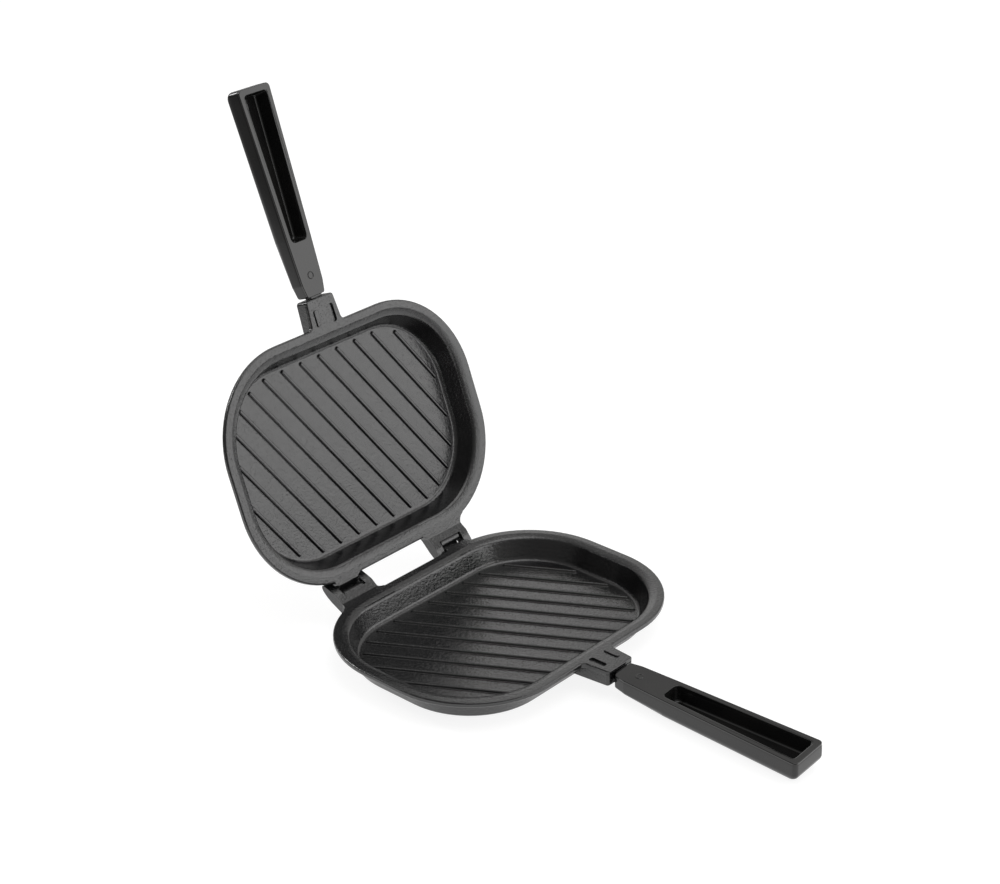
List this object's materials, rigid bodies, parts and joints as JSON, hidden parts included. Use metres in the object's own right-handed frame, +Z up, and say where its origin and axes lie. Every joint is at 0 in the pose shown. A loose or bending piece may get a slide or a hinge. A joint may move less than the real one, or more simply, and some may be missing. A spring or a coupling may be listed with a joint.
{
  "type": "pie iron",
  "caption": "Hinged stove-top pie iron with two rounded rectangular ribbed pans, one trough handle on each, shown open.",
  "frame": {"origin": "centre of the lower pan's flat base", "axes": "+X along the lower handle away from the hinge, +Y along the hinge, +Z up, out of the lower pan's open side"},
  "size_m": [0.5003, 0.24, 0.3494],
  "materials": {
    "coated_aluminium": "satin",
    "phenolic": "gloss",
    "steel": "satin"
  },
  "bodies": {
    "lower_half": {"lower_pan": "coated_aluminium", "lower_handle": "phenolic", "lower_stud": "steel", "near_hinge_pin": "steel"},
    "upper_half": {"upper_pan": "coated_aluminium", "upper_handle": "phenolic", "upper_stud": "steel", "far_hinge_pin": "steel"}
  },
  "joints": [
    {"name": "hinge", "type": "hinge", "parent": "lower_half", "child": "upper_half", "pos_m": [-0.096, 0, 0.02], "axis": [0, 1, 0], "range_deg": [0, 111.45]}
  ]
}
